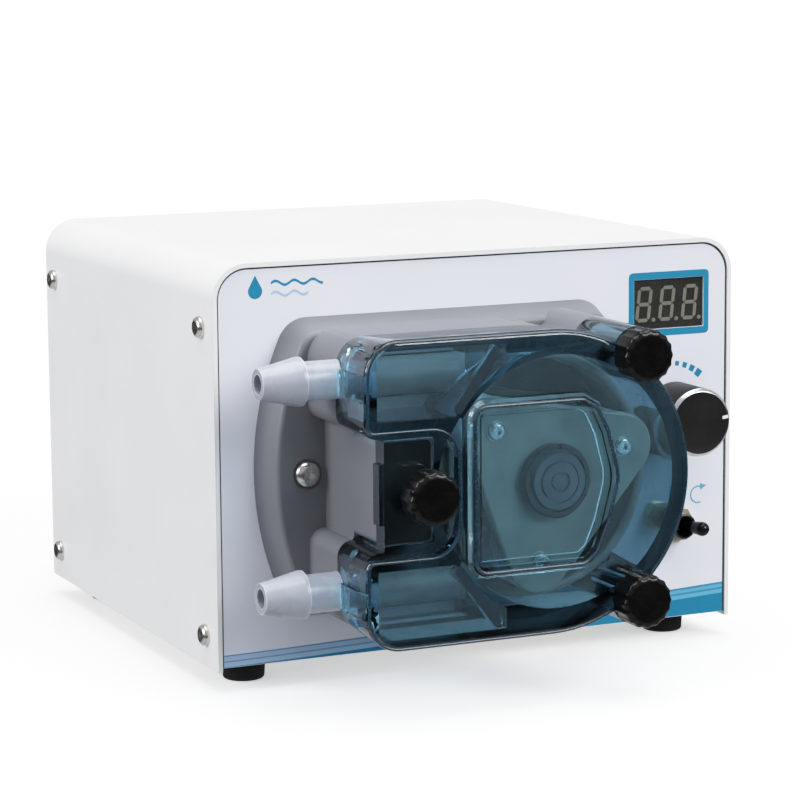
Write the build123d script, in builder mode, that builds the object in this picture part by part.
from build123d import *
import os
from math import cos, radians, sin, sqrt, tan

# Desktop peristaltic pump: steel case, pump head with a three-roller rotor, display, speed knob,
# direction toggle, and power inlet and switch at the rear.
# Millimetres. +X is the user's right, -Y is towards the user, +Z is up, Z = 0 is the foot plane.

os.makedirs("parts", exist_ok=True)

# ---------------------------------------------------------------- case
CASE_W = 147.0
CASE_BOTTOM = 6.5
CASE_TOP = 108.0
PANEL_Y = -41.0  # front face of the panel's label
SHELL_FRONT = PANEL_Y - 0.5
SHELL_REAR = 91.0
SHELL_BOTTOM = 5.5
SHELL_T = 1.2
SHELL_R = 9.0
PLATE_W = 144.2
SHEET_T = 1.5
TRAY_FRONT = -38.5
TRAY_REAR = 88.9
TRAY_FLANGE = 14.0
LABEL_T = 0.4
PANEL_T = 2.0
PANEL_TOP = 106.6
PANEL_R = 7.6
PANEL_BACK = PANEL_Y + LABEL_T + PANEL_T
REAR_FACE = 90.5
RETURN_D = 10.5
SIDE_SCREWS = ((-32.9, 13.6), (83.7, 13.6), (-32.9, 91.7), (83.7, 91.7))
TRAY_SCREWS = ((-40.0, -33.0), (40.0, -33.0), (-40.0, 84.0), (40.0, 84.0))
FOOT_R = 5.8
FOOT_X = 61.2
FOOT_Y = (-27.0, 77.0)
FOOT_SEAT = 3.0
M3_R = 1.5
M3_CLEAR = 1.6
M4_R = 2.0

# ---------------------------------------------------------------- pump head
HEAD_X = -1.5  # rotor axis
HEAD_Z = 55.7
FLANGE_X = -10.5
FLANGE_HALF_W = 52.6
FLANGE_HALF_H = 38.0
FLANGE_CORNER_X = 43.0
FLANGE_D = 9.0
BODY_LEFT = -52.0
BODY_ARC_X = -3.7
BODY_R = 36.2
NOTCH_X = -47.5
NOTCH_HALF = 13.8
PART_D = 26.3  # the cover meets the body this far in front of the panel
BLOCK_D = 39.5
COVER_D = 47.5
COVER_FLARE = 4.0  # degrees by which the cover's sides lean out towards the user
TRACK_R = 31.3
FLOOR_D = 9.4
EAR = (18.9, 30.4)
EAR_R = 6.7
LATCH_X = -38.3
HEAD_SCREWS = ((-52.4, 0.0), (29.5, 27.5), (29.5, -27.5))  # X, and Z from the head's axis

# ---------------------------------------------------------------- rotor and tube
LOBE_R = 20.3
LOBE_ANGLE = 19.7
PLATE_LOBE_R = 8.2
ROLLER_R = 7.8
PIN_R = 2.5
RUN = 0.05  # running clearance, radial
BACK_PLATE = (10.0, 13.2)
FRONT_PLATE = (38.8, 42.0)
ROLLERS = (13.6, 38.4)
SHAFT_R = 4.0
HUB_R = 9.2
HUB_D = 45.9
ARM_Z = 26.1
TUBE_R = 4.8
TUBE_WALL = 1.2
TUBE_OUTER = 31.0
TUBE_INNER = 28.45
CHANNEL_HALF = 6.6
BARB_TIP = -72.2
BARB_FLANGE = -61.4
COLLAR = (-49.0, -46.9)

# ---------------------------------------------------------------- controls
DISPLAY = (54.9, 91.1)
WINDOW = (20.9, 13.2)
KNOB = (55.8, 61.4)
KNOB_R = 9.0
KNOB_D = 15.5
POINTER_ANGLE = 8.0
TOGGLE = (57.1, 32.0)
TOGGLE_TILT = 16.0
JACK = (-52.0, 30.0)
ROCKER = (-28.0, 30.0)
ROCKER_TILT = 8.0
MOTOR_HALF = 21.15
MOTOR_SCREW = 15.5

CENTRED = (Align.CENTER, Align.CENTER, Align.MIN)


def ahead(d):
    """The plane at distance d in front of the panel, facing the user."""
    return Plane.XZ.offset(d - PANEL_Y)


def button_screw(head_r, head_h, shank_r, shank_l):
    """A button-head socket screw along Z whose head stands on the XY plane."""
    with BuildPart() as screw:
        Cylinder(head_r, head_h, align=CENTRED)
        fillet(screw.edges().sort_by(Axis.Z)[-1], radius=0.8 * head_h)
        with BuildSketch(Plane.XY.offset(head_h)):
            RegularPolygon(0.42 * head_r, 6)
        extrude(amount=-0.6 * head_h, mode=Mode.SUBTRACT)
        Cylinder(shank_r, shank_l, align=(Align.CENTER, Align.CENTER, Align.MAX))
    return screw.part


m3_short = button_screw(2.8, 1.65, M3_R, 6.0)
m3_long = button_screw(2.8, 1.65, M3_R, 8.5)
m4_head = button_screw(3.4, 2.2, M4_R, 14.0)
pin_screw = button_screw(2.3, 1.3, 1.0, 3.0)

# ---------------------------------------------------------------- case pieces
with BuildPart() as shell:
    with BuildSketch(Plane.XZ.offset(-SHELL_REAR)) as outer:
        with Locations((0, (SHELL_BOTTOM + CASE_TOP) / 2)):
            Rectangle(CASE_W, CASE_TOP - SHELL_BOTTOM)
        fillet(outer.vertices().group_by(Axis.Y)[-1], radius=SHELL_R)
    extrude(amount=SHELL_REAR - SHELL_FRONT)
    with BuildSketch(Plane.XZ.offset(-SHELL_REAR)) as inner:
        with Locations((0, CASE_TOP - SHELL_T)):
            Rectangle(CASE_W - 2 * SHELL_T, CASE_TOP, align=(Align.CENTER, Align.MAX))
        fillet(inner.vertices().group_by(Axis.Y)[-1], radius=SHELL_R - SHELL_T)
    extrude(amount=SHELL_REAR - SHELL_FRONT, mode=Mode.SUBTRACT)
    with BuildSketch(Plane.YZ):
        with Locations(*SIDE_SCREWS):
            Circle(M3_CLEAR)
    extrude(amount=CASE_W, both=True, mode=Mode.SUBTRACT)

with BuildPart() as base_tray:
    with Locations((0, (TRAY_FRONT + TRAY_REAR) / 2, CASE_BOTTOM)):
        Box(PLATE_W, TRAY_REAR - TRAY_FRONT, TRAY_FLANGE, align=CENTRED)
    fillet(base_tray.edges().filter_by(Axis.Y).group_by(Axis.Z)[0], radius=2.0)
    with Locations((0, (TRAY_FRONT + TRAY_REAR) / 2, CASE_BOTTOM + SHEET_T)):
        Box(PLATE_W - 2 * SHEET_T, TRAY_REAR - TRAY_FRONT, TRAY_FLANGE, align=CENTRED, mode=Mode.SUBTRACT)
    with BuildSketch(Plane.YZ):
        with Locations(*SIDE_SCREWS[:2]):
            Circle(M3_R)
    extrude(amount=CASE_W, both=True, mode=Mode.SUBTRACT)
    with BuildSketch(Plane.XY.offset(CASE_BOTTOM)):
        with Locations(*TRAY_SCREWS):
            Circle(M3_CLEAR)
        with Locations(*[(x, y) for x in (-FOOT_X, FOOT_X) for y in FOOT_Y]):
            Circle(M3_R)
    extrude(amount=SHEET_T, mode=Mode.SUBTRACT)

with BuildPart() as front_panel:
    with BuildSketch(Plane.XZ.offset(-PANEL_BACK)) as face:
        with Locations((0, (CASE_BOTTOM + PANEL_TOP) / 2)):
            Rectangle(PLATE_W, PANEL_TOP - CASE_BOTTOM)
        fillet(face.vertices().group_by(Axis.Y)[-1], radius=PANEL_R)
    extrude(amount=PANEL_T)
    with Locations(*[(s * (PLATE_W - SHEET_T) / 2, PANEL_BACK + RETURN_D / 2, 60.0) for s in (-1, 1)]):
        Box(SHEET_T, RETURN_D, 72.0)
    with Locations((0, PANEL_BACK + RETURN_D / 2, CASE_BOTTOM + SHEET_T + 0.75)):
        Box(120.0, RETURN_D, SHEET_T)
    with BuildSketch(Plane.YZ):
        with Locations(*SIDE_SCREWS[2:]):
            Circle(M3_R)
    extrude(amount=CASE_W, both=True, mode=Mode.SUBTRACT)
    with BuildSketch(Plane.XY.offset(CASE_BOTTOM)):
        with Locations(*TRAY_SCREWS[:2]):
            Circle(M3_R)
    extrude(amount=5.0, mode=Mode.SUBTRACT)
    with BuildSketch(Plane.XZ.offset(-PANEL_BACK)):
        with Locations(DISPLAY):
            Rectangle(*WINDOW)
        with Locations(KNOB):
            Circle(3.6)
        with Locations(TOGGLE):
            Circle(3.5)
        with Locations((HEAD_X, HEAD_Z)):
            Circle(11.1)
            with GridLocations(2 * MOTOR_SCREW, 2 * MOTOR_SCREW, 2, 2):
                Circle(M3_CLEAR)
        with Locations(*[(x, HEAD_Z + z) for x, z in HEAD_SCREWS]):
            Circle(M4_R)
    extrude(amount=PANEL_T, mode=Mode.SUBTRACT)

with BuildPart() as front_label:
    with BuildSketch(ahead(-LABEL_T)) as face:
        with Locations((0, (CASE_BOTTOM + PANEL_TOP) / 2)):
            Rectangle(PLATE_W - 0.2, PANEL_TOP - CASE_BOTTOM)
        fillet(face.vertices().group_by(Axis.Y)[-1], radius=PANEL_R)
        with Locations(DISPLAY):
            Rectangle(*WINDOW, mode=Mode.SUBTRACT)
        with Locations(KNOB):
            Circle(3.6, mode=Mode.SUBTRACT)
        with Locations(TOGGLE):
            Circle(3.5, mode=Mode.SUBTRACT)
        with Locations((HEAD_X, HEAD_Z)):
            Circle(11.1, mode=Mode.SUBTRACT)
            with GridLocations(2 * MOTOR_SCREW, 2 * MOTOR_SCREW, 2, 2):
                Circle(M3_CLEAR, mode=Mode.SUBTRACT)
        with Locations(*[(x, HEAD_Z + z) for x, z in HEAD_SCREWS]):
            Circle(2.2, mode=Mode.SUBTRACT)
    extrude(amount=LABEL_T)

with BuildPart() as rear_panel:
    with BuildSketch(Plane.XZ.offset(-REAR_FACE)) as face:
        with Locations((0, (CASE_BOTTOM + PANEL_TOP) / 2)):
            Rectangle(PLATE_W, PANEL_TOP - CASE_BOTTOM)
        fillet(face.vertices().group_by(Axis.Y)[-1], radius=PANEL_R)
    extrude(amount=SHEET_T)
    with Locations(*[(s * (PLATE_W - SHEET_T) / 2, 89.0 - RETURN_D / 2, 60.0) for s in (-1, 1)]):
        Box(SHEET_T, RETURN_D, 72.0)
    with Locations((0, 89.0 - RETURN_D / 2, CASE_BOTTOM + SHEET_T + 0.75)):
        Box(120.0, RETURN_D, SHEET_T)
    with BuildSketch(Plane.YZ):
        with Locations(*SIDE_SCREWS[2:]):
            Circle(M3_R)
    extrude(amount=CASE_W, both=True, mode=Mode.SUBTRACT)
    with BuildSketch(Plane.XY.offset(CASE_BOTTOM)):
        with Locations(*TRAY_SCREWS[2:]):
            Circle(M3_R)
    extrude(amount=5.0, mode=Mode.SUBTRACT)
    with BuildSketch(Plane.XZ.offset(-REAR_FACE)):
        with Locations(JACK):
            Circle(5.6)
        with Locations(ROCKER):
            Rectangle(13.2, 19.4)
        with Locations((0, 74.0)):
            with GridLocations(0, 6.0, 1, 6):
                SlotOverall(80.0, 2.6)
    extrude(amount=SHEET_T, mode=Mode.SUBTRACT)

with BuildPart() as feet:
    with Locations(*[(x, y, 0) for x in (-FOOT_X, FOOT_X) for y in FOOT_Y]):
        Cone(FOOT_R - 0.5, FOOT_R, CASE_BOTTOM, align=CENTRED)
    fillet(feet.edges().group_by(Axis.Z)[0], radius=0.8)
    with Locations(*[(x, y, 0) for x in (-FOOT_X, FOOT_X) for y in FOOT_Y]):
        Cylinder(3.2, FOOT_SEAT, align=CENTRED, mode=Mode.SUBTRACT)
        Cylinder(M3_CLEAR, CASE_BOTTOM, align=CENTRED, mode=Mode.SUBTRACT)

with BuildPart() as foot_screws:
    with Locations(*[Location((x, y, FOOT_SEAT), (180, 0, 0)) for x in (-FOOT_X, FOOT_X) for y in FOOT_Y]):
        add(m3_short)

with BuildPart() as tray_screws:
    with Locations(*[Location((x, y, CASE_BOTTOM), (180, 0, 0)) for x, y in TRAY_SCREWS]):
        add(m3_short)

with BuildPart() as side_screws:
    with Locations(*[Location((CASE_W / 2, y, z), (0, 90, 0)) for y, z in SIDE_SCREWS]):
        add(m3_short)
    with Locations(*[Location((-CASE_W / 2, y, z), (0, -90, 0)) for y, z in SIDE_SCREWS]):
        add(m3_short)

# ---------------------------------------------------------------- pump head body and cover
with BuildSketch() as head_outline:
    with Locations((BODY_LEFT, 0)):
        Rectangle(BODY_ARC_X - BODY_LEFT, 2 * BODY_R, align=(Align.MIN, Align.CENTER))
    fillet(head_outline.vertices().group_by(Axis.X)[0], radius=7.5)
    with Locations((BODY_ARC_X, 0)):
        Circle(BODY_R)
    with Locations((BODY_LEFT, 0)):
        Rectangle(NOTCH_X - BODY_LEFT, 2 * NOTCH_HALF, align=(Align.MIN, Align.CENTER), mode=Mode.SUBTRACT)
    notch = head_outline.vertices().filter_by_position(Axis.Y, -NOTCH_HALF - 0.1, NOTCH_HALF + 0.1)
    fillet(notch.group_by(Axis.X)[0], radius=3.9)
    fillet(notch.group_by(Axis.X)[-1], radius=0.9)
    with Locations(EAR, (EAR[0], -EAR[1])):
        Circle(EAR_R)
    arc_centre = Vector(BODY_ARC_X, 0, 0)
    right = head_outline.vertices().filter_by(lambda v: v.X > 2.0)
    fillet(right.filter_by(lambda v: abs((Vector(v) - arc_centre).length - BODY_R) < 0.01), radius=2.0)

with BuildSketch() as flange_outline:
    with BuildLine():
        top = Line((-FLANGE_CORNER_X, FLANGE_HALF_H), (FLANGE_CORNER_X, FLANGE_HALF_H))
        ThreePointArc(top @ 1, (FLANGE_HALF_W, 0), (FLANGE_CORNER_X, -FLANGE_HALF_H))
        bottom = Line((FLANGE_CORNER_X, -FLANGE_HALF_H), (-FLANGE_CORNER_X, -FLANGE_HALF_H))
        ThreePointArc(bottom @ 1, (-FLANGE_HALF_W, 0), top @ 0)
    make_face()
    fillet(flange_outline.vertices(), radius=8.0)

with BuildPart() as head_body:
    with BuildSketch(ahead(0)):
        with Locations((FLANGE_X, HEAD_Z)):
            add(flange_outline.sketch)
    extrude(amount=FLANGE_D, taper=17)
    fillet(head_body.edges().group_by(Axis.Y)[0], radius=1.4)
    with BuildSketch(ahead(FLANGE_D - 2.0)):
        with Locations((0, HEAD_Z)):
            add(head_outline.sketch)
    extrude(amount=PART_D - FLANGE_D + 2.0)
    with BuildSketch(ahead(PART_D)) as block:
        with Locations((NOTCH_X, HEAD_Z)):
            Rectangle(14.0, 2 * 12.6, align=(Align.MIN, Align.CENTER))
        fillet(block.vertices().group_by(Axis.X)[0], radius=1.5)
    extrude(amount=BLOCK_D - PART_D)
    with BuildSketch(ahead(FLOOR_D)):
        with Locations((HEAD_X, HEAD_Z)):
            Circle(TRACK_R)
    extrude(amount=BLOCK_D, mode=Mode.SUBTRACT)
    for side in (-1, 1):
        with BuildSketch(ahead(PART_D)):
            with Locations((COLLAR[1] - 0.3, HEAD_Z + side * ARM_Z)):
                Rectangle(HEAD_X - COLLAR[1], 2 * 5.2, align=(Align.MIN, Align.CENTER))
        extrude(amount=-CHANNEL_HALF, mode=Mode.SUBTRACT)
        with Locations(Location((BODY_LEFT - 1, PANEL_Y - PART_D, HEAD_Z + side * ARM_Z), (0, 90, 0))):
            Cylinder(TUBE_R + 0.05, 8.0, align=CENTRED, mode=Mode.SUBTRACT)
        with Locations(Location((COLLAR[0] - 0.1, PANEL_Y - PART_D, HEAD_Z + side * ARM_Z), (0, 90, 0))):
            Cylinder(6.1, COLLAR[1] - COLLAR[0] + 0.2, align=CENTRED, mode=Mode.SUBTRACT)
    with BuildSketch(ahead(0)):
        with Locations((HEAD_X, HEAD_Z)):
            Circle(5.0)
            with GridLocations(2 * MOTOR_SCREW, 2 * MOTOR_SCREW, 2, 2):
                Circle(3.4)
    extrude(amount=3.5, mode=Mode.SUBTRACT)
    with BuildSketch(ahead(3.0)):
        with Locations((HEAD_X, HEAD_Z)):
            Circle(8.0)
    extrude(amount=FLOOR_D, mode=Mode.SUBTRACT)
    with BuildSketch(ahead(FLANGE_D)):
        with Locations(*[(x, HEAD_Z + z) for x, z in HEAD_SCREWS]):
            Circle(4.0)
    extrude(amount=-0.5, mode=Mode.SUBTRACT)
    with BuildSketch(ahead(0)):
        with Locations(*[(x, HEAD_Z + z) for x, z in HEAD_SCREWS]):
            Circle(M4_R + 0.1)
    extrude(amount=FLANGE_D, mode=Mode.SUBTRACT)
    with BuildSketch(ahead(12.0)):
        with Locations((EAR[0], HEAD_Z + EAR[1]), (EAR[0], HEAD_Z - EAR[1])):
            Circle(M4_R + RUN)
    extrude(amount=COVER_D, mode=Mode.SUBTRACT)
    with BuildSketch(ahead(25.0)):
        with Locations((LATCH_X, HEAD_Z)):
            Circle(M4_R + RUN)
    extrude(amount=COVER_D, mode=Mode.SUBTRACT)

with BuildSketch() as window_outline:
    with BuildLine():
        Polyline(
            (-27.0, 21.8), (4.0, 21.8), (8.6, 19.2), (11.8, 12.6), (15.0, 0.6),
            (11.8, -11.6), (8.8, -18.6), (5.0, -21.8), (-27.0, -21.8), close=True,
        )
    make_face()
    fillet(window_outline.vertices().group_by(Axis.X)[0], radius=4.5)
    fillet(window_outline.vertices().sort_by(Axis.X)[-1], radius=14.0)

with BuildSketch() as pane_outline:
    offset(window_outline.sketch, amount=-3.0)

with BuildSketch() as hub_room:
    offset(window_outline.sketch, amount=-4.0)

with BuildSketch() as ear_outline:
    add(head_outline.sketch)
    with Locations(EAR, (EAR[0], -EAR[1])):
        Circle(EAR_R + 3.0, mode=Mode.INTERSECT)

with BuildPart() as head_cover:
    with BuildSketch(ahead(PART_D)) as sides:
        with Locations((BODY_LEFT, HEAD_Z)):
            Rectangle(BODY_ARC_X - BODY_LEFT, 2 * BODY_R, align=(Align.MIN, Align.CENTER))
        fillet(sides.vertices().group_by(Axis.X)[0], radius=7.5)
        with Locations((BODY_ARC_X, HEAD_Z)):
            Circle(BODY_R)
    extrude(amount=COVER_D - PART_D, taper=-COVER_FLARE)
    with BuildSketch(ahead(PART_D)) as gap:
        with Locations((BODY_LEFT - 5, HEAD_Z)):
            Rectangle(NOTCH_X - BODY_LEFT + 5, 2 * NOTCH_HALF, align=(Align.MIN, Align.CENTER))
        fillet(gap.vertices().group_by(Axis.X)[-1], radius=0.9)
    extrude(amount=COVER_D - PART_D, mode=Mode.SUBTRACT)
    lips = head_cover.edges().filter_by_position(Axis.X, BODY_LEFT - 2, BODY_LEFT + 0.1)
    lips = lips.filter_by_position(Axis.Z, HEAD_Z - NOTCH_HALF - 0.1, HEAD_Z + NOTCH_HALF + 0.1)
    fillet(lips.filter_by(lambda e: e.length > 15), radius=3.9)
    fillet(head_cover.edges().group_by(Axis.Y)[0], radius=1.5)
    with BuildSketch(ahead(PART_D)):
        with Locations((0, HEAD_Z)):
            add(ear_outline.sketch)
    extrude(amount=COVER_D - PART_D)
    # raised window rim
    with BuildSketch(ahead(COVER_D)):
        with Locations((0, HEAD_Z)):
            add(window_outline.sketch)
    extrude(amount=1.3, taper=30)
    with BuildSketch(ahead(COVER_D + 1.3)):
        with Locations((0, HEAD_Z)):
            add(pane_outline.sketch)
    extrude(amount=-0.8, mode=Mode.SUBTRACT)
    # thumb-screw pocket
    with BuildSketch(ahead(COVER_D)) as pocket:
        with Locations((BODY_LEFT - 3, HEAD_Z)):
            Rectangle(25.8, 30.4, align=(Align.MIN, Align.CENTER))
        fillet(pocket.vertices().group_by(Axis.X)[-1], radius=7.5)
    extrude(amount=-3.0, mode=Mode.SUBTRACT)
    # rotor chamber, shallower behind the pocket
    with BuildSketch(ahead(PART_D)):
        with Locations((HEAD_X, HEAD_Z)):
            Circle(TRACK_R)
    extrude(amount=42.4 - PART_D, mode=Mode.SUBTRACT)
    with BuildSketch(ahead(PART_D)):
        with Locations((HEAD_X, HEAD_Z)):
            Circle(TRACK_R)
        with Locations((BODY_LEFT, HEAD_Z)):
            Rectangle(25.1, 34.8, align=(Align.MIN, Align.CENTER), mode=Mode.SUBTRACT)
    extrude(amount=45.3 - PART_D, mode=Mode.SUBTRACT)
    with BuildSketch(ahead(45.0)):
        with Locations((0, HEAD_Z)):
            add(hub_room.sketch)
    extrude(amount=1.4, mode=Mode.SUBTRACT)
    # hollow arms over the tube
    for side in (-1, 1):
        with BuildSketch(ahead(33.5)):
            with Locations((BODY_LEFT + 2.1, HEAD_Z + side * 26.45)):
                Rectangle(34.0, 16.9, align=(Align.MIN, Align.CENTER))
            with Locations((HEAD_X, HEAD_Z)):
                Circle(TRACK_R + 1.9, mode=Mode.SUBTRACT)
        extrude(amount=45.3 - 33.5, mode=Mode.SUBTRACT)
        with BuildSketch(ahead(PART_D)):
            with Locations((COLLAR[1] + 1.0, HEAD_Z + side * 25.85)):
                Rectangle(25.0, 15.7, align=(Align.MIN, Align.CENTER))
            with Locations((HEAD_X, HEAD_Z)):
                Circle(TRACK_R + 1.9, mode=Mode.SUBTRACT)
        extrude(amount=33.6 - PART_D, mode=Mode.SUBTRACT)
        with BuildSketch(ahead(PART_D)):
            with Locations((COLLAR[1] - 0.3, HEAD_Z + side * ARM_Z)):
                Rectangle(HEAD_X - COLLAR[1], 2 * 5.2, align=(Align.MIN, Align.CENTER))
        extrude(amount=CHANNEL_HALF, mode=Mode.SUBTRACT)
        with Locations(Location((BODY_LEFT - 1, PANEL_Y - PART_D, HEAD_Z + side * ARM_Z), (0, 90, 0))):
            Cylinder(TUBE_R + 0.1, 8.0, align=CENTRED, mode=Mode.SUBTRACT)
        with Locations(Location((COLLAR[0] - 0.1, PANEL_Y - PART_D, HEAD_Z + side * ARM_Z), (0, 90, 0))):
            Cylinder(6.1, COLLAR[1] - COLLAR[0] + 0.2, align=CENTRED, mode=Mode.SUBTRACT)
        # raised facet over the tube entry and the diagonal rib inside the arm
        with BuildSketch(ahead(PART_D + 5.6)):
            with Locations((BODY_LEFT - 1.9, HEAD_Z + side * ARM_Z)):
                Rectangle(3.8, 6.4, align=(Align.MIN, Align.CENTER))
        extrude(amount=COVER_D - PART_D - 5.6)
        with BuildSketch(ahead(43.4)):
            with Locations(Location((-23.4, HEAD_Z + side * 26.5, 0), (0, 0, side * 53.5))):
                SlotOverall(19.6, 2.4)
        extrude(amount=45.4 - 43.4)
    # seat for the body's centre block
    with BuildSketch(ahead(PART_D)):
        with Locations((BODY_LEFT, HEAD_Z)):
            Rectangle(19.0, 2 * 12.9, align=(Align.MIN, Align.CENTER))
    extrude(amount=BLOCK_D - PART_D, mode=Mode.SUBTRACT)
    with BuildSketch(ahead(BLOCK_D + 0.3)):
        with Locations((NOTCH_X - 0.8, HEAD_Z)):
            Rectangle(2.0, 14.8, align=(Align.MIN, Align.CENTER))
    extrude(amount=3.4)
    with BuildSketch(ahead(PART_D)):
        with Locations((EAR[0], HEAD_Z + EAR[1]), (EAR[0], HEAD_Z - EAR[1]), (LATCH_X, HEAD_Z)):
            Circle(M4_R + 0.3)
    extrude(amount=COVER_D, mode=Mode.SUBTRACT)

with BuildPart() as head_screws:
    with Locations(*[Location((x, PANEL_Y - FLANGE_D + 0.5, HEAD_Z + z), (90, 0, 0)) for x, z in HEAD_SCREWS]):
        add(m4_head)

# ---------------------------------------------------------------- thumb screws
def thumb_cap(collar_l):
    """A fluted thumb cap along Z with its back on the XY plane and a collar below it."""
    with BuildPart() as cap:
        Cylinder(6.7, 7.0, align=CENTRED)
        fillet(cap.edges().sort_by(Axis.Z)[-1], radius=1.1)
        with PolarLocations(7.65, 16):
            Cylinder(1.25, 7.0, align=CENTRED, mode=Mode.SUBTRACT)
        if collar_l:
            Cylinder(4.5, collar_l, align=(Align.CENTER, Align.CENTER, Align.MAX))
        with Locations((0, 0, -collar_l)):
            Cylinder(M4_R, collar_l + 4.0, align=CENTRED, mode=Mode.SUBTRACT)
    return cap.part


cap_plain = thumb_cap(0)
cap_collar = thumb_cap(2.9)
CAP_BACK = 47.6

with BuildPart() as thumb_cap_top:
    with Locations(Location((EAR[0], PANEL_Y - CAP_BACK, HEAD_Z + EAR[1]), (90, 0, 0))):
        add(cap_plain)
with BuildPart() as thumb_cap_bottom:
    with Locations(Location((EAR[0], PANEL_Y - CAP_BACK, HEAD_Z - EAR[1]), (90, 0, 0))):
        add(cap_plain)
with BuildPart() as thumb_cap_left:
    with Locations(Location((LATCH_X, PANEL_Y - CAP_BACK, HEAD_Z), (90, 0, 0))):
        add(cap_collar)

with BuildPart() as thumb_stud_top:
    with BuildSketch(ahead(14.0)):
        with Locations((EAR[0], HEAD_Z + EAR[1])):
            Circle(M4_R)
    extrude(amount=CAP_BACK + 4.0 - 14.0)
with BuildPart() as thumb_stud_bottom:
    with BuildSketch(ahead(14.0)):
        with Locations((EAR[0], HEAD_Z - EAR[1])):
            Circle(M4_R)
    extrude(amount=CAP_BACK + 4.0 - 14.0)
with BuildPart() as thumb_stud_left:
    with BuildSketch(ahead(27.0)):
        with Locations((LATCH_X, HEAD_Z)):
            Circle(M4_R)
    extrude(amount=CAP_BACK + 4.0 - 27.0)

# ---------------------------------------------------------------- rotor
with BuildSketch() as lobes:
    with PolarLocations(LOBE_R, 3, start_angle=LOBE_ANGLE):
        Circle(PLATE_LOBE_R)
    make_hull()

with BuildPart() as rotor_back_plate:
    with BuildSketch(ahead(BACK_PLATE[0])):
        with Locations((HEAD_X, HEAD_Z)):
            add(lobes.sketch)
            Circle(SHAFT_R, mode=Mode.SUBTRACT)
            with PolarLocations(LOBE_R, 3, start_angle=LOBE_ANGLE):
                Circle(PIN_R, mode=Mode.SUBTRACT)
    extrude(amount=BACK_PLATE[1] - BACK_PLATE[0])

with BuildPart() as rotor_front_plate:
    with BuildSketch(ahead(FRONT_PLATE[0])):
        with Locations((HEAD_X, HEAD_Z)):
            add(lobes.sketch)
    extrude(amount=FRONT_PLATE[1] - FRONT_PLATE[0])
    fillet(rotor_front_plate.edges().group_by(Axis.Y)[0], radius=0.8)
    with BuildSketch(ahead(FRONT_PLATE[0])):
        with Locations((HEAD_X, HEAD_Z)):
            Circle(SHAFT_R)
            with PolarLocations(LOBE_R, 3, start_angle=LOBE_ANGLE):
                Circle(PIN_R)
    extrude(amount=FRONT_PLATE[1] - FRONT_PLATE[0], mode=Mode.SUBTRACT)

with BuildPart() as rotor_core:
    with BuildSketch(ahead(BACK_PLATE[1])):
        with Locations((HEAD_X, HEAD_Z)):
            Circle(10.0)
            Circle(SHAFT_R, mode=Mode.SUBTRACT)
    extrude(amount=FRONT_PLATE[0] - BACK_PLATE[1])

with BuildPart() as hub_cap:
    with BuildSketch(ahead(FRONT_PLATE[1])):
        with Locations((HEAD_X, HEAD_Z)):
            Circle(HUB_R)
    extrude(amount=HUB_D - FRONT_PLATE[1])
    chamfer(hub_cap.edges().group_by(Axis.Y)[0], length=1.6)
    with BuildSketch(ahead(HUB_D)):
        with Locations((HEAD_X, HEAD_Z)):
            Circle(5.1)
            Circle(2.4, mode=Mode.SUBTRACT)
    extrude(amount=-0.7, mode=Mode.SUBTRACT)
    with BuildSketch(ahead(FRONT_PLATE[1])):
        with Locations((HEAD_X, HEAD_Z)):
            Circle(SHAFT_R)
    extrude(amount=1.0, mode=Mode.SUBTRACT)

with BuildPart() as roller_pins:
    with BuildSketch(ahead(BACK_PLATE[0])):
        with Locations((HEAD_X, HEAD_Z)):
            with PolarLocations(LOBE_R, 3, start_angle=LOBE_ANGLE):
                Circle(PIN_R)
    extrude(amount=FRONT_PLATE[1] - BACK_PLATE[0])
    with BuildSketch(ahead(FRONT_PLATE[1] - 3.0)):
        with Locations((HEAD_X, HEAD_Z)):
            with PolarLocations(LOBE_R, 3, start_angle=LOBE_ANGLE):
                Circle(1.0)
    extrude(amount=3.0, mode=Mode.SUBTRACT)

LOBES = [
    (HEAD_X + LOBE_R * cos(radians(LOBE_ANGLE + k * 120)), HEAD_Z + LOBE_R * sin(radians(LOBE_ANGLE + k * 120)))
    for k in range(3)
]
with BuildPart() as rotor_screws:
    with Locations(*[Location((x, PANEL_Y - FRONT_PLATE[1], z), (90, 0, 0)) for x, z in LOBES]):
        add(pin_screw)


def roller(centre):
    """One squeeze roller on its pin, centred at an X, Z position."""
    with BuildPart() as body:
        with BuildSketch(ahead(ROLLERS[0])):
            with Locations(centre):
                Circle(ROLLER_R)
        extrude(amount=ROLLERS[1] - ROLLERS[0])
        chamfer(body.edges(), length=0.8)
        with BuildSketch(ahead(ROLLERS[0])):
            with Locations(centre):
                Circle(PIN_R + RUN)
        extrude(amount=ROLLERS[1] - ROLLERS[0], mode=Mode.SUBTRACT)
    return body.part


roller_a = roller(LOBES[0])
roller_b = roller(LOBES[1])
roller_c = roller(LOBES[2])

with BuildPart() as drive_shaft:
    with BuildSketch(ahead(-18.0)):
        with Locations((HEAD_X, HEAD_Z)):
            Circle(SHAFT_R)
    extrude(amount=18.0 + FRONT_PLATE[1] + 1.0)

with BuildPart() as head_bearing:
    with BuildSketch(ahead(3.5)):
        with Locations((HEAD_X, HEAD_Z)):
            Circle(8.0)
            Circle(SHAFT_R + RUN, mode=Mode.SUBTRACT)
    extrude(amount=FLOOR_D - 3.5)

# ---------------------------------------------------------------- tube and hose barbs
# Stations of the squeezed tube left of the rotor axis: distance, outer width, height above the axis of both faces.
STATIONS = []
for back, width in ((20.0, 2 * TUBE_R), (15.0, 11.0), (10.0, 11.9), (5.0, 12.3), (0.0, 12.4)):
    low = ARM_Z - TUBE_R if back == 20.0 else sqrt(TUBE_INNER**2 - back**2)
    high = ARM_Z + TUBE_R if back == 20.0 else TUBE_OUTER
    STATIONS.append((back, width, low, high))
LUMEN_MIN = 0.25


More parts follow.
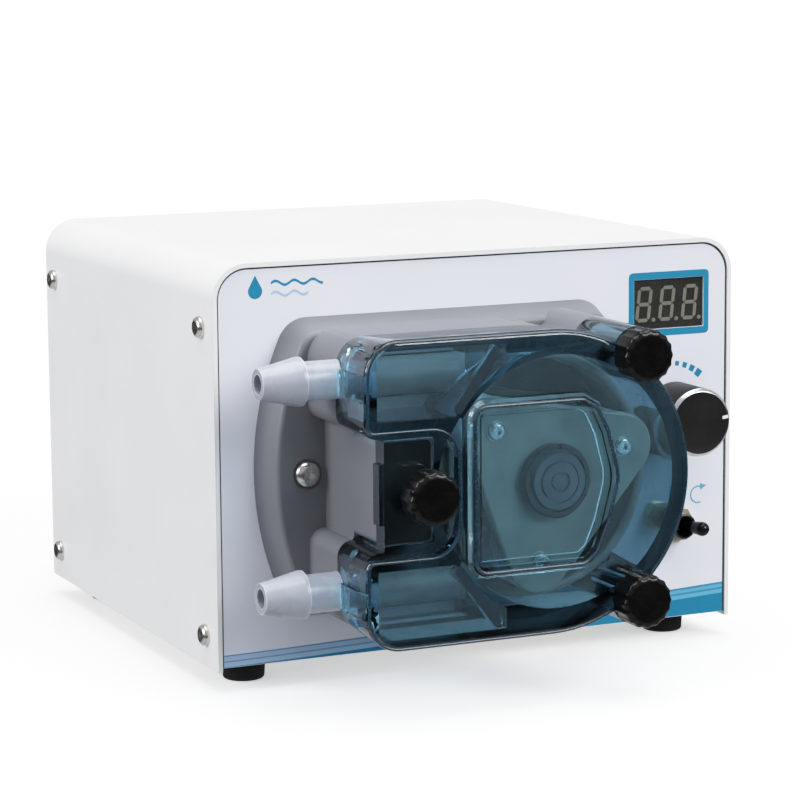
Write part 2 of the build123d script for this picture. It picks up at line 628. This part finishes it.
def tube_solid(wall):
    """Half of the tube above the axis, from arm to the top of the track, inset by a wall."""
    with BuildPart() as half:
        for i, (back, width, low, high) in enumerate(STATIONS):
            plane = Plane(
                origin=(HEAD_X - back, PANEL_Y - PART_D, HEAD_Z + (low + high) / 2),
                x_dir=(0, 1, 0), z_dir=(1, 0, 0),
            )
            height = max(high - low - 2 * wall, LUMEN_MIN)
            with BuildSketch(plane):
                RectangleRounded(width - 2 * wall, height, height / 2 - 0.01)
        loft()
    with BuildPart() as arm:
        plane = Plane(
            origin=(HEAD_X - 20.0, PANEL_Y - PART_D, HEAD_Z + ARM_Z), x_dir=(0, 1, 0), z_dir=(1, 0, 0)
        )
        with BuildSketch(plane):
            RectangleRounded(2 * (TUBE_R - wall), 2 * (TUBE_R - wall), TUBE_R - wall - 0.01)
        extrude(amount=-(HEAD_X - 20.0 - COLLAR[1] - 0.2))
    return half.part + arm.part


def tube_bend(wall):
    """The squeezed half turn along the track, inset by a wall."""
    height = max(TUBE_OUTER - TUBE_INNER - 2 * wall, LUMEN_MIN)
    plane = Plane(
        origin=(HEAD_X, PANEL_Y - PART_D, HEAD_Z + (TUBE_OUTER + TUBE_INNER) / 2),
        x_dir=(0, 1, 0), z_dir=(1, 0, 0),
    )
    with BuildPart() as bend:
        with BuildSketch(plane):
            RectangleRounded(12.4 - 2 * wall, height, height / 2 - 0.01)
        revolve(axis=Axis((HEAD_X, 0, HEAD_Z), (0, 1, 0)), revolution_arc=180)
    return bend.part


tube_upper = tube_solid(0) - tube_solid(TUBE_WALL)
tube_lower = tube_upper.mirror(Plane.XY.offset(HEAD_Z))
with BuildPart() as pump_tube:
    add(tube_upper)
    add(tube_lower)
    add(tube_bend(0) - tube_bend(TUBE_WALL))


def barb(z):
    """A hose barb along X at height z, with the inner nipple that holds the tube."""
    with BuildPart() as body:
        with BuildSketch(Plane(origin=(0, PANEL_Y - PART_D, z), x_dir=(1, 0, 0), z_dir=(0, -1, 0))):
            with BuildLine():
                Polyline(
                    (BARB_TIP, 2.4), (BARB_TIP, 3.8), (BARB_FLANGE - 0.8, 6.0), (BARB_FLANGE, 6.0),
                    (BARB_FLANGE, TUBE_R), (COLLAR[0], TUBE_R), (COLLAR[0], 6.0), (COLLAR[1], 6.0),
                    (COLLAR[1], TUBE_R - TUBE_WALL), (-39.5, TUBE_R - TUBE_WALL), (-38.5, 3.3), (-38.5, 2.4),
                    close=True,
                )
            make_face()
        revolve(axis=Axis((0, PANEL_Y - PART_D, z), (1, 0, 0)))
    return body.part


barb_upper = barb(HEAD_Z + ARM_Z)
barb_lower = barb(HEAD_Z - ARM_Z)

# ---------------------------------------------------------------- motor
with BuildPart() as motor_front_cap:
    with BuildSketch(Plane.XZ.offset(-PANEL_BACK - 12.0)) as square:
        with Locations((HEAD_X, HEAD_Z)):
            Rectangle(2 * MOTOR_HALF, 2 * MOTOR_HALF)
        chamfer(square.vertices(), length=4.0)
    extrude(amount=12.0)
    with BuildSketch(Plane.XZ.offset(-PANEL_BACK)):
        with Locations((HEAD_X, HEAD_Z)):
            Circle(11.0)
    extrude(amount=1.8)
    with BuildSketch(ahead(5.0)):
        with Locations((HEAD_X, HEAD_Z)):
            Circle(SHAFT_R + RUN)
    extrude(amount=-30.0, mode=Mode.SUBTRACT)
    with BuildSketch(Plane.XZ.offset(-PANEL_BACK)):
        with Locations((HEAD_X, HEAD_Z)):
            with GridLocations(2 * MOTOR_SCREW, 2 * MOTOR_SCREW, 2, 2):
                Circle(M3_R)
    extrude(amount=-8.0, mode=Mode.SUBTRACT)

with BuildPart() as motor_body:
    with BuildSketch(Plane.XZ.offset(-PANEL_BACK - 42.0)) as square:
        with Locations((HEAD_X, HEAD_Z)):
            Rectangle(2 * MOTOR_HALF - 0.8, 2 * MOTOR_HALF - 0.8)
        chamfer(square.vertices(), length=4.6)
    extrude(amount=30.0)
    with BuildSketch(Plane.XZ.offset(-PANEL_BACK - 12.0)):
        with Locations((HEAD_X, HEAD_Z)):
            Circle(SHAFT_R + RUN)
    extrude(amount=-6.0, mode=Mode.SUBTRACT)

with BuildPart() as motor_rear_cap:
    with BuildSketch(Plane.XZ.offset(-PANEL_BACK - 52.0)) as square:
        with Locations((HEAD_X, HEAD_Z)):
            Rectangle(2 * MOTOR_HALF, 2 * MOTOR_HALF)
        chamfer(square.vertices(), length=4.0)
    extrude(amount=10.0)
    with BuildSketch(Plane.XZ.offset(-PANEL_BACK - 52.0)):
        with Locations((HEAD_X, HEAD_Z)):
            Circle(13.0)
    extrude(amount=-2.0)

with BuildPart() as motor_screws:
    with Locations(*[
        Location((HEAD_X + sx * MOTOR_SCREW, PANEL_Y, HEAD_Z + sz * MOTOR_SCREW), (90, 0, 0))
        for sx in (-1, 1) for sz in (-1, 1)
    ]):
        add(m3_long)

# ---------------------------------------------------------------- display
with BuildPart() as led_display:
    with BuildSketch(ahead(-9.9)):
        with Locations(DISPLAY):
            Rectangle(WINDOW[0] - 0.3, WINDOW[1] - 0.3)
    extrude(amount=9.4)

DIGIT_PITCH = 6.85
DIGIT_H = 9.3
DIGIT_W = 4.4
SEGMENT = 0.95
SLANT = tan(radians(6.0))


def bar(x0, z0, x1, z1):
    """The corner points of one segment between two ends, with pointed tips and the digit's slant."""
    h = SEGMENT / 2
    if abs(z1 - z0) < 1e-6:
        raw = [(x0, z0), (x0 + h, z0 + h), (x1 - h, z0 + h), (x1, z0), (x1 - h, z0 - h), (x0 + h, z0 - h)]
    else:
        raw = [(x0, z0), (x0 + h, z0 + h), (x0 + h, z1 - h), (x0, z1), (x0 - h, z1 - h), (x0 - h, z0 + h)]
    return [(x + z * SLANT, z) for x, z in raw]


with BuildPart() as led_digits:
    half_w = (DIGIT_W - SEGMENT) / 2
    half_h = (DIGIT_H - SEGMENT) / 2
    gap = 0.12
    segments = [
        (-half_w + gap, half_h, half_w - gap, half_h),
        (-half_w + gap, 0, half_w - gap, 0),
        (-half_w + gap, -half_h, half_w - gap, -half_h),
        (-half_w, gap, -half_w, half_h - gap),
        (half_w, gap, half_w, half_h - gap),
        (-half_w, gap - half_h, -half_w, -gap),
        (half_w, gap - half_h, half_w, -gap),
    ]
    with BuildSketch(ahead(-0.5)):
        with Locations(*[(DISPLAY[0] + k * DIGIT_PITCH - 0.4, DISPLAY[1]) for k in (-1, 0, 1)]):
            for ends in segments:
                Polygon(*bar(*ends), align=None)
            with Locations((half_w + 1.15, -half_h)):
                Circle(0.55)
    extrude(amount=0.1)

with BuildPart() as display_board:
    with BuildSketch(ahead(-11.5)):
        with Locations(DISPLAY):
            Rectangle(28.0, 21.0)
            with GridLocations(24.4, 16.4, 2, 2):
                Circle(0.9, mode=Mode.SUBTRACT)
    extrude(amount=1.6)

with BuildPart() as display_posts:
    with BuildSketch(ahead(-9.9)):
        with Locations(DISPLAY):
            with GridLocations(24.4, 16.4, 2, 2):
                Circle(1.8)
    extrude(amount=9.9 - LABEL_T - PANEL_T)
    with BuildSketch(ahead(-12.9)):
        with Locations(DISPLAY):
            with GridLocations(24.4, 16.4, 2, 2):
                Circle(0.9)
    extrude(amount=3.0)

# ---------------------------------------------------------------- speed knob
with BuildPart() as speed_knob:
    with BuildSketch(ahead(1.2)):
        with Locations(KNOB):
            Circle(KNOB_R)
    extrude(amount=KNOB_D - 1.2)
    chamfer(speed_knob.edges().group_by(Axis.Y)[0], length=0.7)
    with BuildSketch(ahead(1.2)):
        with Locations(KNOB):
            Circle(6.8)
    extrude(amount=5.4, mode=Mode.SUBTRACT)
    with BuildSketch(ahead(1.2)):
        with Locations(KNOB):
            Circle(3.0)
    extrude(amount=12.3, mode=Mode.SUBTRACT)
    with BuildSketch(ahead(KNOB_D - 0.3)):
        with Locations(Location((KNOB[0], KNOB[1], 0), (0, 0, POINTER_ANGLE))):
            with Locations((6.6, 0)):
                Rectangle(4.0, 0.8, align=(Align.MIN, Align.CENTER))
    extrude(amount=1.0, mode=Mode.SUBTRACT)

with BuildPart() as knob_pointer:
    with BuildSketch(ahead(KNOB_D - 0.3)):
        with Locations(Location((KNOB[0], KNOB[1], 0), (0, 0, POINTER_ANGLE))):
            with Locations((6.6, 0)):
                Rectangle(1.7, 0.8, align=(Align.MIN, Align.CENTER))
    extrude(amount=0.35)

with BuildPart() as pot_shaft:
    with BuildSketch(ahead(-10.0)):
        with Locations(KNOB):
            Circle(3.0)
    extrude(amount=23.5)

with BuildPart() as pot_body:
    with BuildSketch(ahead(-12.4)):
        with Locations(KNOB):
            Circle(8.0)
    extrude(amount=10.0)
    with BuildSketch(ahead(-2.4)):
        with Locations(KNOB):
            Circle(3.5)
    extrude(amount=8.0)
    with BuildSketch(ahead(-10.5)):
        with Locations(KNOB):
            Circle(3.0 + RUN)
    extrude(amount=30.0, mode=Mode.SUBTRACT)

with BuildPart() as pot_nut:
    with BuildSketch(ahead(0)):
        with Locations(KNOB):
            RegularPolygon(5.7, 6)
            Circle(3.5, mode=Mode.SUBTRACT)
    extrude(amount=2.0)

# ---------------------------------------------------------------- direction toggle
PIVOT_D = 1.5
with BuildPart() as toggle_body:
    with BuildSketch(ahead(-12.4)):
        with Locations(TOGGLE):
            Rectangle(13.0, 8.0)
    extrude(amount=10.0)
    with BuildSketch(ahead(-2.4)):
        with Locations(TOGGLE):
            Circle(3.4)
    extrude(amount=8.0)
    fillet(toggle_body.edges().group_by(Axis.Y)[0], radius=0.4)
    with BuildSketch(ahead(-4.0)):
        with Locations(TOGGLE):
            Circle(1.95)
    extrude(amount=4.0 + PIVOT_D, mode=Mode.SUBTRACT)
    with BuildSketch(ahead(5.6)):
        with Locations(TOGGLE):
            Circle(2.75)
    with BuildSketch(ahead(PIVOT_D)):
        with Locations(TOGGLE):
            Circle(1.95)
    loft(mode=Mode.SUBTRACT)

with BuildPart() as toggle_nut:
    with BuildSketch(ahead(0)):
        with Locations(TOGGLE):
            Circle(5.0)
            Circle(3.4, mode=Mode.SUBTRACT)
    extrude(amount=0.6)
    with BuildSketch(ahead(0.6)):
        with Locations(TOGGLE):
            RegularPolygon(4.9, 6)
            Circle(3.4, mode=Mode.SUBTRACT)
    extrude(amount=1.9)

with BuildPart() as toggle_lever:
    lean = Plane(
        origin=(TOGGLE[0], PANEL_Y - PIVOT_D, TOGGLE[1]),
        x_dir=(cos(radians(TOGGLE_TILT)), sin(radians(TOGGLE_TILT)), 0),
        z_dir=(sin(radians(TOGGLE_TILT)), -cos(radians(TOGGLE_TILT)), 0),
    )
    with BuildSketch(lean):
        Circle(0.95)
    with BuildSketch(lean.offset(9.0)):
        Circle(1.9)
    loft()
    with Locations(lean.offset(9.0)):
        Sphere(1.9)
    with Locations(lean):
        Sphere(1.9)

# ---------------------------------------------------------------- electronics and rear fittings
BOARD = (0.0, 48.0)
BOARD_Z = 18.4
with BuildPart() as board_posts:
    with Locations((BOARD[0], BOARD[1], CASE_BOTTOM + SHEET_T)):
        with GridLocations(84.0, 52.0, 2, 2):
            Cylinder(3.0, BOARD_Z - CASE_BOTTOM - SHEET_T, align=CENTRED)
    with Locations((BOARD[0], BOARD[1], BOARD_Z)):
        with GridLocations(84.0, 52.0, 2, 2):
            Cylinder(M3_R, 3.5, align=CENTRED)

with BuildPart() as control_board:
    with Locations((BOARD[0], BOARD[1], BOARD_Z)):
        Box(92.0, 60.0, 1.6, align=CENTRED)
        with GridLocations(84.0, 52.0, 2, 2):
            Cylinder(M3_R, 1.6, align=CENTRED, mode=Mode.SUBTRACT)

with BuildPart() as board_parts:
    with Locations((-30.0, 62.0, BOARD_Z + 1.6), (-18.0, 62.0, BOARD_Z + 1.6)):
        Cylinder(5.0, 16.0, align=CENTRED)
    with Locations((12.0, 50.0, BOARD_Z + 1.6)):
        Box(24.0, 18.0, 12.0, align=CENTRED)
    with Locations((32.0, 66.0, BOARD_Z + 1.6), (0.0, 72.0, BOARD_Z + 1.6)):
        Box(12.0, 6.0, 7.0, align=CENTRED)

with BuildPart() as dc_jack:
    with BuildSketch(Plane.XZ.offset(-95.0)):
        with Locations(JACK):
            Circle(5.5)
    extrude(amount=22.0)
    with BuildSketch(Plane.XZ.offset(-89.0)):
        with Locations(JACK):
            Circle(7.0)
    extrude(amount=2.0)
    with BuildSketch(Plane.XZ.offset(-95.0)):
        with Locations(JACK):
            Circle(3.3)
            Circle(1.05, mode=Mode.SUBTRACT)
    extrude(amount=11.0, mode=Mode.SUBTRACT)

with BuildPart() as dc_jack_nut:
    with BuildSketch(Plane.XZ.offset(-REAR_FACE - 2.2)):
        with Locations(JACK):
            RegularPolygon(8.0, 6)
            Circle(5.5, mode=Mode.SUBTRACT)
    extrude(amount=2.2)

ROCKER_Y = 88.0
with BuildPart() as rocker_frame:
    with BuildSketch(Plane.XZ.offset(-REAR_FACE - 2.0)):
        with Locations(ROCKER):
            RectangleRounded(15.0, 21.0, 1.2)
    extrude(amount=2.0)
    with BuildSketch(Plane.XZ.offset(-REAR_FACE)):
        with Locations(ROCKER):
            Rectangle(13.0, 19.2)
    extrude(amount=17.0)
    with BuildSketch(Plane.XZ.offset(-REAR_FACE - 2.0)):
        with Locations(ROCKER):
            Rectangle(11.0, 17.6)
    extrude(amount=12.0, mode=Mode.SUBTRACT)
    with Locations(Location((ROCKER[0], ROCKER_Y, ROCKER[1]), (0, 90, 0))):
        Cylinder(1.0 + RUN, 12.4, mode=Mode.SUBTRACT)

with BuildPart() as power_rocker:
    tilted = Plane(
        origin=(ROCKER[0], ROCKER_Y, ROCKER[1]),
        x_dir=(0, cos(radians(ROCKER_TILT)), sin(radians(ROCKER_TILT))),
        z_dir=(1, 0, 0),
    )
    with BuildSketch(tilted):
        with BuildLine():
            Polyline(
                (-3.0, -6.5), (-3.0, 6.5), (0, 8.4), (3.4, 7.7), (2.3, 0), (3.4, -7.7), (0, -8.4), close=True
            )
        make_face()
    extrude(amount=5.3, both=True)
    with Locations(Location((ROCKER[0], ROCKER_Y, ROCKER[1]), (0, 90, 0))):
        Cylinder(1.0, 12.2)

# ---------------------------------------------------------------- export
PIECES = {
    "shell": shell.part,
    "base_tray": base_tray.part,
    "front_panel": front_panel.part,
    "front_label": front_label.part,
    "rear_panel": rear_panel.part,
    "feet": feet.part,
    "foot_screws": foot_screws.part,
    "tray_screws": tray_screws.part,
    "side_screws": side_screws.part,
    "head_body": head_body.part,
    "head_cover": head_cover.part,
    "head_screws": head_screws.part,
    "thumb_cap_top": thumb_cap_top.part,
    "thumb_cap_bottom": thumb_cap_bottom.part,
    "thumb_cap_left": thumb_cap_left.part,
    "thumb_stud_top": thumb_stud_top.part,
    "thumb_stud_bottom": thumb_stud_bottom.part,
    "thumb_stud_left": thumb_stud_left.part,
    "rotor_back_plate": rotor_back_plate.part,
    "rotor_front_plate": rotor_front_plate.part,
    "rotor_core": rotor_core.part,
    "hub_cap": hub_cap.part,
    "roller_pins": roller_pins.part,
    "rotor_screws": rotor_screws.part,
    "roller_a": roller_a,
    "roller_b": roller_b,
    "roller_c": roller_c,
    "drive_shaft": drive_shaft.part,
    "head_bearing": head_bearing.part,
    "pump_tube": pump_tube.part,
    "barb_upper": barb_upper,
    "barb_lower": barb_lower,
    "motor_front_cap": motor_front_cap.part,
    "motor_body": motor_body.part,
    "motor_rear_cap": motor_rear_cap.part,
    "motor_screws": motor_screws.part,
    "led_display": led_display.part,
    "led_digits": led_digits.part,
    "display_board": display_board.part,
    "display_posts": display_posts.part,
    "speed_knob": speed_knob.part,
    "knob_pointer": knob_pointer.part,
    "pot_shaft": pot_shaft.part,
    "pot_body": pot_body.part,
    "pot_nut": pot_nut.part,
    "toggle_body": toggle_body.part,
    "toggle_nut": toggle_nut.part,
    "toggle_lever": toggle_lever.part,
    "board_posts": board_posts.part,
    "control_board": control_board.part,
    "board_parts": board_parts.part,
    "dc_jack": dc_jack.part,
    "dc_jack_nut": dc_jack_nut.part,
    "rocker_frame": rocker_frame.part,
    "power_rocker": power_rocker.part,
}
for label, piece in PIECES.items():
    piece.label = label
    export_step(piece, f"parts/{label}.step")
